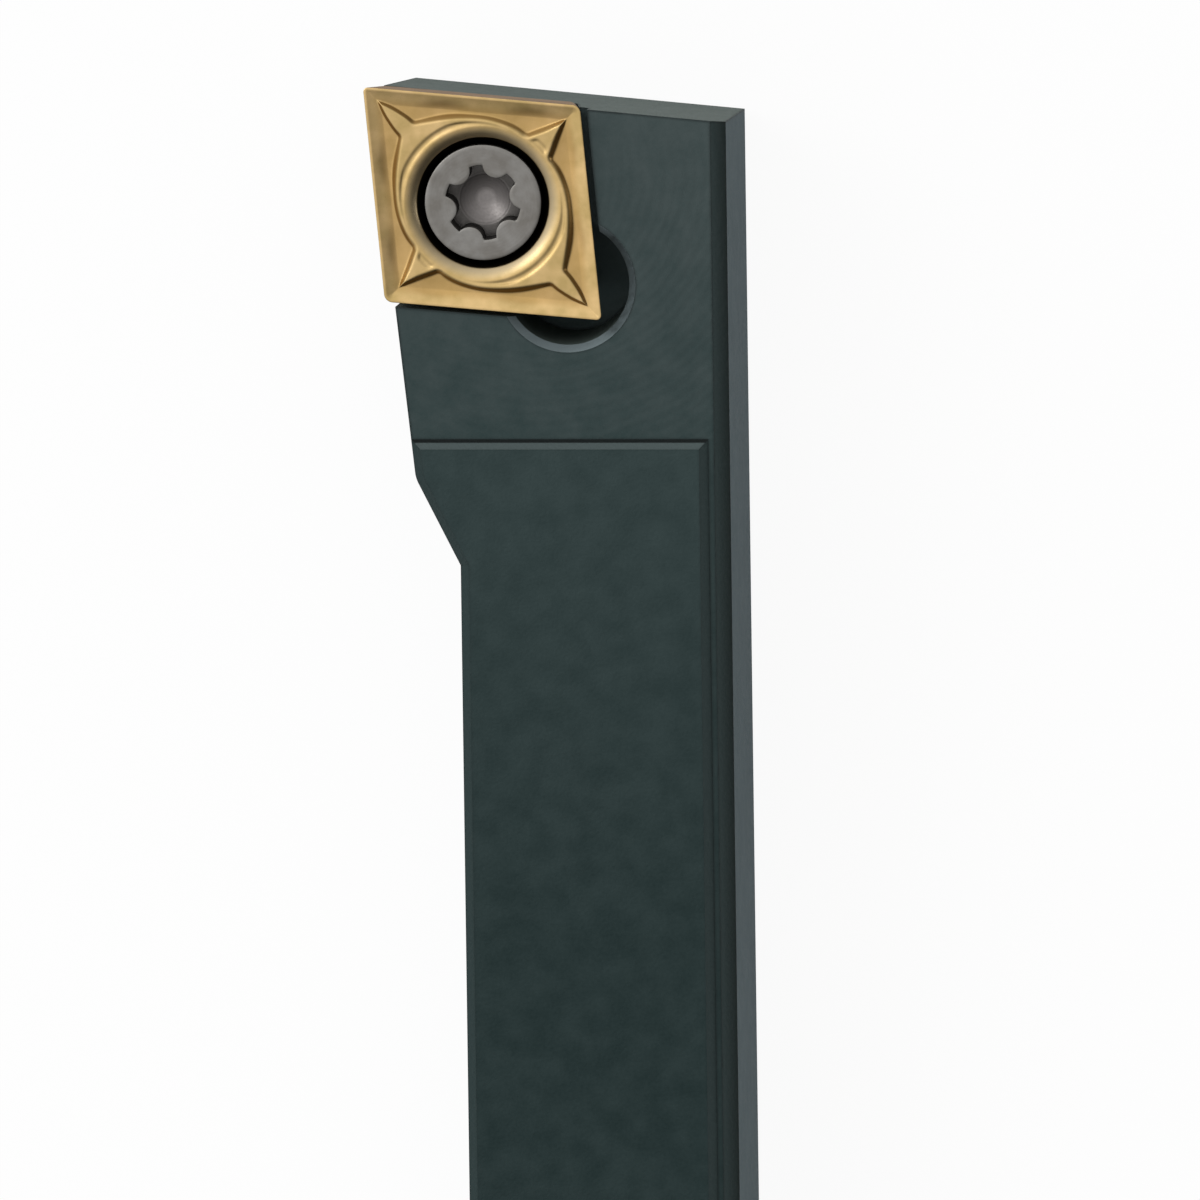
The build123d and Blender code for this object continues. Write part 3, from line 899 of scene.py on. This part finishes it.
# %% [markdown]
# The insert is pressed from powder in a die, so its top is a soft landscape, not a set of flat
# cuts: a narrow land behind the edge, a slope down into a groove, and an island with a finger
# to each corner. The best tool for that is a height field: a fine net of points over the
# outline, each lifted to a height that a formula gives. This cell makes the outline and the
# distance from it, which the land and the slope follow.

# %% Outline of the insert
CORNER_STEPS, SIDE_STEPS = 22, 120
SIDE_ANGLE = 90 - degrees(HALF_CORNER)


def insert_outline(side_distance, acute_round, obtuse_round):
    """Local outline of the rhombus with rounded corners, from the cutting tip round."""
    arcs = []
    for quarter in range(4):
        acute = quarter % 2 == 0
        radius = acute_round if acute else obtuse_round
        reach = (side_distance - radius) / (sin(HALF_CORNER) if acute else cos(HALF_CORNER))
        middle = 90 * quarter
        spread = SIDE_ANGLE if acute else 90 - SIDE_ANGLE
        turn = np.radians(np.linspace(middle - spread, middle + spread, CORNER_STEPS))
        centre = reach * np.array([cos(radians(middle)), sin(radians(middle))])
        arcs.append(centre + radius * np.stack([np.cos(turn), np.sin(turn)], axis=1))
    steps = np.linspace(0, 1, SIDE_STEPS + 2)[1:-1, None]
    parts = []
    for arc, following in zip(arcs, arcs[1:] + arcs[:1]):
        parts += [arc, arc[-1] + steps * (following[0] - arc[-1])]
    return np.concatenate(parts)


def edge_distance(x, y):
    """How far a point of the insert's top lies inside the cutting edge."""
    x, y = np.abs(x), np.abs(y)
    normal_angle = radians(SIDE_ANGLE)
    distance = INSCRIBED - x * cos(normal_angle) - y * sin(normal_angle)
    acute_centre = (INSCRIBED - NOSE) / sin(HALF_CORNER)
    obtuse_centre = (INSCRIBED - OBTUSE_NOSE) / cos(HALF_CORNER)
    in_acute = np.arctan2(y, x - acute_centre) < normal_angle
    in_acute &= x > acute_centre
    in_obtuse = np.arctan2(y - obtuse_centre, x) > normal_angle
    in_obtuse &= y > obtuse_centre
    distance = np.where(in_acute, NOSE - np.hypot(x - acute_centre, y), distance)
    return np.where(in_obtuse, OBTUSE_NOSE - np.hypot(x, y - obtuse_centre), distance)


top_outline = insert_outline(INSCRIBED, NOSE, OBTUSE_NOSE)
print("points round the edge:", len(top_outline))

# %% [markdown]
# The island's border is one curve per side, repeated in mirror image: from the finger's point
# to a notch, round the belly beside the hole, to the next notch, and out along the next
# finger. How far a point lies inside this border says how high it stands on the island's wall.

# %% Island of the chip former
ACUTE_TIP, ACUTE_SWELL, ACUTE_NOTCH = (0.58, 0), (1.00, 0.42), (2.57, 0.66)
OBTUSE_TIP, OBTUSE_SWELL, OBTUSE_NOTCH = (0, 0.50), (0.45, 1.45), (0.92, 2.42)
BELLY_MARGIN, BELLY_SHIFT = 0.62, 0.46

acute_corner = INSCRIBED / sin(HALF_CORNER)
obtuse_corner = INSCRIBED / cos(HALF_CORNER)
side_middle = np.array([acute_corner, obtuse_corner]) / 2
inward = -np.array([sin(HALF_CORNER), cos(HALF_CORNER)])
to_acute = np.array([cos(HALF_CORNER), -sin(HALF_CORNER)])


def bent_line(start, pull, end, count):
    """Points of a curve from start to end that leans towards the point pull."""
    share = np.linspace(0, 1, count)[:, None]
    return (1 - share)**2 * start + 2 * share * (1 - share) * pull + share**2 * end


def island_border():
    """Local border of the island, as a closed line of points."""
    acute = [np.array([acute_corner - x, y]) for x, y in (ACUTE_TIP, ACUTE_SWELL, ACUTE_NOTCH)]
    obtuse = [np.array([x, obtuse_corner - y]) for x, y in (OBTUSE_NOTCH, OBTUSE_SWELL, OBTUSE_TIP)]
    belly = side_middle - BELLY_SHIFT * to_acute + BELLY_MARGIN * inward
    pull = 2 * belly - (acute[2] + obtuse[0]) / 2
    quarter = np.concatenate([
        bent_line(*acute, 10), bent_line(acute[2], pull, obtuse[0], 25)[1:-1], bent_line(*obtuse, 6),
    ])
    back = quarter[::-1]
    return np.concatenate([quarter, back[1:] * (-1, 1), -quarter[1:], back[1:-1] * (1, -1)])


def inside_island(x, y, border):
    """How far points lie inside the island's border, or outside it as a negative number."""
    start, end = border, np.roll(border, -1, axis=0)
    run = end - start
    nearest = np.full(x.shape, np.inf)
    inside = np.zeros(x.shape, bool)
    for (ax, ay), (dx, dy) in zip(start, run):
        share = np.clip(((x - ax) * dx + (y - ay) * dy) / (dx * dx + dy * dy), 0, 1)
        nearest = np.minimum(nearest, np.hypot(x - ax - share * dx, y - ay - share * dy))
        crosses = (ay > y) != (ay + dy > y)
        with np.errstate(divide="ignore", invalid="ignore"):
            inside ^= crosses & (x < ax + (y - ay) * dx / dy)
    return np.where(inside, nearest, -nearest)


border = island_border()
print("points round the island:", len(border))

# %% [markdown]
# The height is put together as a die maker would cut it. First the land and the slope into
# the groove, with a shallow bowl near each notch that helps to curl the chip. Then the island
# where it stands higher, parted from the ring round the hole by a faint groove behind every
# finger. Last the mouth of the hole, a funnel that grows steeper towards the screw. Where the
# slope meets the island, a smooth maximum keeps the small radius that every pressed part has.

# %% Height of the chip former
LAND, SLOPE, GROOVE, FALL_CURVE = 0.10, 0.62, 0.19, 0.25
ISLAND_HEIGHT, ISLAND_FOOT = 0.175, 0.12
BELLY_WALL, FINGER_WALL, FINGERS_FROM = 0.46, 0.34, 4.2
MOUTH_START, MOUTH_RADIUS, MOUTH_DROP = 3.62, 2.94, 0.30
PART_LINE, PART_WIDTH, PART_DEPTH, PART_RAMP = 3.68, 0.22, 0.06, 0.2
BOWL_DEPTH, BOWL_LENGTH, BOWL_WIDTH, BOWL_INSET = 0.06, 1.45, 0.95, 0.80
BOWL_PLACES, BOWL_RAMP = (-2.7, 1.2), 0.6
PRESS_RADIUS = 0.05


def smooth_step(value):
    """A soft ramp from 0 to 1."""
    value = np.clip(value, 0, 1)
    return value * value * (3 - 2 * value)


def hump(value):
    """A soft round hump: 1 in the middle, 0 from 1 outwards on both sides."""
    return (1 - np.clip(value, -1, 1)**2)**2


def smooth_maximum(first, second, radius):
    """The higher of two surfaces, with their meeting line rounded."""
    share = np.clip(0.5 + (first - second) / (2 * radius), 0, 1)
    return second + share * (first - second) + radius * share * (1 - share)


def chip_former(x, y):
    """Height of the insert's top, measured from its cutting edge."""
    inside_edge = edge_distance(x, y)
    fall = np.clip((inside_edge - LAND) / SLOPE, 0, 1)
    surface = -GROOVE * fall * (1 + FALL_CURVE - FALL_CURVE * fall)
    x, y = np.abs(x), np.abs(y)
    along = (x - side_middle[0]) * to_acute[0] + (y - side_middle[1]) * to_acute[1]
    for place in BOWL_PLACES:
        away = np.hypot((along - place) / BOWL_LENGTH, (inside_edge - BOWL_INSET) / BOWL_WIDTH)
        surface = surface - BOWL_DEPTH * hump(away) * smooth_step((inside_edge - LAND) / BOWL_RAMP)
    from_axis = np.hypot(x, y)
    wall_width = BELLY_WALL + (FINGER_WALL - BELLY_WALL) * smooth_step(from_axis - FINGERS_FROM)
    inside = inside_island(x, y, border)
    island = -GROOVE - ISLAND_FOOT + (ISLAND_HEIGHT + ISLAND_FOOT) * smooth_step(inside / wall_width)
    behind_finger = smooth_step((inside - BELLY_WALL) / PART_RAMP)
    island = island - PART_DEPTH * behind_finger * hump((from_axis - PART_LINE) / PART_WIDTH)
    surface = smooth_maximum(surface, island, PRESS_RADIUS)
    into_mouth = np.clip((MOUTH_START - from_axis) / (MOUTH_START - MOUTH_RADIUS), 0, 1)
    return surface - MOUTH_DROP * into_mouth**2


heights = chip_former(top_outline[:, 0] * 0.8, top_outline[:, 1] * 0.8)
print(f"heights four fifths of the way out: {heights.min():.2f} to {heights.max():.2f} mm")

# %% [markdown]
# The whole insert is one closed skin, like a ring of dough: from the hole's mouth out over the
# top, round the edge, down the flank, in along the base and back up the hole. The rows over
# the top run straight from the edge to the hole's mouth. They lie closer together near the
# edge, because the land there is narrow.

# %% Insert
TOP_ROWS, FLANK_ROWS, BASE_ROWS = 76, 8, 5
HOLE_RADIUS = 2.2
MOUTH_TOP = BAR_HEIGHT - GROOVE + ISLAND_HEIGHT - MOUTH_DROP
EDGE_HONE, HONE_DROP, LAND_START = 0.015, 0.004, 0.03
MOUTH_LIP = 0.03

directions = top_outline / np.hypot(*top_outline.T)[:, None]
mouth_points = directions * (MOUTH_RADIUS + MOUTH_LIP)
lengths = np.hypot(*(top_outline - mouth_points).T)[:, None]
insert_rows = []


def add_row(local_points, level):
    """Adds a ring of points to the insert's skin, at a height or at a height for each point."""
    x, y = from_insert(local_points[:, 0], local_points[:, 1])
    insert_rows.append(np.stack([x, y, np.broadcast_to(level, x.shape)], axis=1))


insert_base = insert_outline(SEAT_RADIUS, NOSE / 2, OBTUSE_NOSE)
for share in np.linspace(0, 1, BASE_ROWS):
    add_row(directions * (HOLE_RADIUS + 0.1) * (1 - share) + insert_base * share, SEAT)
for share in np.linspace(0, 1, FLANK_ROWS + 1)[1:-1]:
    add_row(insert_base + (top_outline - insert_base) * share, SEAT + (BAR_HEIGHT - SEAT) * share)
add_row(top_outline, BAR_HEIGHT - EDGE_HONE)
for row in range(TOP_ROWS + 1):
    near_edge = EDGE_HONE if row == 0 else LAND_START
    share = near_edge / lengths + (1 - near_edge / lengths) * max(row - 1, 0) / (TOP_ROWS - 1)
    local = top_outline + (mouth_points - top_outline) * share
    level = BAR_HEIGHT + chip_former(local[:, 0], local[:, 1])
    add_row(local, level - HONE_DROP if row == 0 else level)
add_row(directions * MOUTH_RADIUS, MOUTH_TOP - 0.01)
cone_end = MOUTH_TOP - (MOUTH_RADIUS - HOLE_RADIUS) / tan(radians(30))
for share in np.linspace(0, 1, 7)[1:]:
    radius = MOUTH_RADIUS + (HOLE_RADIUS - MOUTH_RADIUS) * share
    add_row(directions * radius, MOUTH_TOP - 0.04 + (cone_end - MOUTH_TOP) * share)
add_row(directions * HOLE_RADIUS, SEAT + 0.1)
points, faces = skin(insert_rows, closed=True)
insert = mesh_object("cutting_insert", points, faces)
finish_piece(insert, gold_coating, 40, "insert", "coated_carbide")

# %% [markdown]
# The screw is a turned part with two things that a lathe tool alone can't make: the six-lobe
# socket and the thread. It is a skin too, from the middle of the socket out over the head and
# down to the point. The radius of a row may change round the axis: six times a turn in the
# socket, and once a turn in the thread, which makes the thread a true helix.

# %% Socket and thread of the screw
AROUND_SCREW = 264
LOBE_RADIUS, VALLEY_RADIUS, VALLEY_ROUND = 1.675, 1.2, 0.62
SOCKET_TURN = radians(10.4)
THREAD_RADIUS, THREAD_ROOT, PITCH = 1.75, 1.40, 0.6
THREAD_STEEPNESS, THREAD_FLAT = 1.35, 0.12
LOBE = radians(60)

screw_angles = np.linspace(0, 2 * pi, AROUND_SCREW, endpoint=False)


def socket_radius(grow=0.0):
    """Radius of the six-lobe socket at every angle, grown all round by an amount."""
    from_valley = np.mod(screw_angles - SOCKET_TURN - LOBE / 2, LOBE) - LOBE / 2
    centre = VALLEY_RADIUS + VALLEY_ROUND
    under_root = np.maximum((VALLEY_ROUND - grow)**2 - (centre * np.sin(from_valley))**2, 0)
    valley = centre * np.cos(from_valley) - np.sqrt(under_root)
    valley = np.where(under_root > 0, valley, LOBE_RADIUS + grow + 0.3)
    return -smooth_maximum(-valley, np.full_like(valley, -LOBE_RADIUS - grow), 0.035)


def thread_radius(level, fullness):
    """Radius of the thread at every angle of a row. fullness runs it out at both ends."""
    phase = np.mod(level / PITCH - screw_angles / (2 * pi), 1)
    ridge = np.clip(THREAD_STEEPNESS * (1 - np.abs(2 * phase - 1)) - THREAD_FLAT, 0, 1)
    return THREAD_ROOT + (THREAD_RADIUS - THREAD_ROOT) * ridge * fullness


print(f"socket: {socket_radius().min():.2f} to {socket_radius().max():.2f} mm from the axis")

# %% [markdown]
# The rows are then listed from the top down. Wherever the real screw has a small radius or a
# broken edge, two rows lie close together.

# %% Screw
SOCKET_DEPTH, SOCKET_POINT = 1.1, 1.6
HEAD_RADIUS, HEAD_RIM, HEAD_BREAK = 2.6, 0.25, 0.08
NECK_RADIUS, NECK_TOP, THREAD_START, SCREW_END = 1.5, 9.495, 8.08, 2.851
NECK_LEVELS = (9.2, 8.9, 8.6, 8.3)
RUN_OUT, POINT_LENGTH, POINT_DRAW = 0.6, 0.4, 0.4

screw_rows = []


def add_screw_row(radius, level):
    """Adds a ring of points to the screw's skin. The radius is one number or one per angle."""
    radius = np.broadcast_to(radius, screw_angles.shape)
    x, y = INSERT_X + radius * np.cos(screw_angles), INSERT_Y + radius * np.sin(screw_angles)
    screw_rows.append(np.stack([x, y, np.full(x.shape, level)], axis=1))


floor_level = SCREW_TOP - SOCKET_DEPTH
for radius, level in ((0.25, SCREW_TOP - SOCKET_POINT), (0.486, SCREW_TOP - SOCKET_POINT + 0.02),
                      (VALLEY_RADIUS - 0.1, floor_level - 0.05), (VALLEY_RADIUS - 0.02, floor_level)):
    add_screw_row(radius, level)
add_screw_row(socket_radius() - 0.02, floor_level)
for level in np.linspace(floor_level + 0.02, SCREW_TOP - 0.05, 6):
    add_screw_row(socket_radius(), level)
add_screw_row(socket_radius(0.015), SCREW_TOP - 0.015)
socket_mouth = socket_radius(0.05)
flat_edge = HEAD_RADIUS - HEAD_BREAK
for share in np.linspace(0, 1, 9):
    add_screw_row(socket_mouth + (flat_edge - socket_mouth) * share, SCREW_TOP)
add_screw_row(HEAD_RADIUS - 0.024, SCREW_TOP - 0.024)
add_screw_row(HEAD_RADIUS, SCREW_TOP - HEAD_BREAK)
rim_level = SCREW_TOP - HEAD_RIM
add_screw_row(HEAD_RADIUS, rim_level + 0.02)
for share in np.linspace(0, 1, 8)[1:]:
    level = rim_level + (NECK_TOP - rim_level) * share
    add_screw_row(HEAD_RADIUS + (NECK_RADIUS - HEAD_RADIUS) * share, level)
for level in NECK_LEVELS:
    add_screw_row(NECK_RADIUS, level)
for level in np.arange(THREAD_START, SCREW_END + 0.02, -0.04):
    run_out = smooth_step((THREAD_START - level) / RUN_OUT)
    point = np.clip((level - SCREW_END) / POINT_LENGTH, 0, 1)
    root_share = THREAD_ROOT + (NECK_RADIUS - THREAD_ROOT) * (1 - run_out)
    radius = np.maximum(thread_radius(level, run_out), np.where(run_out < 1, root_share, 0))
    add_screw_row(np.minimum(radius, THREAD_RADIUS - POINT_DRAW * (1 - point)), level)
add_screw_row(THREAD_RADIUS - 0.42, SCREW_END)
axis_points = [(INSERT_X, INSERT_Y, SCREW_TOP - SOCKET_POINT), (INSERT_X, INSERT_Y, SCREW_END)]
points, faces = skin(screw_rows, poles=axis_points)
screw = mesh_object("clamping_screw", points, faces)
finish_piece(screw, screw_steel, 35, "clamp_screw", "screw_steel")
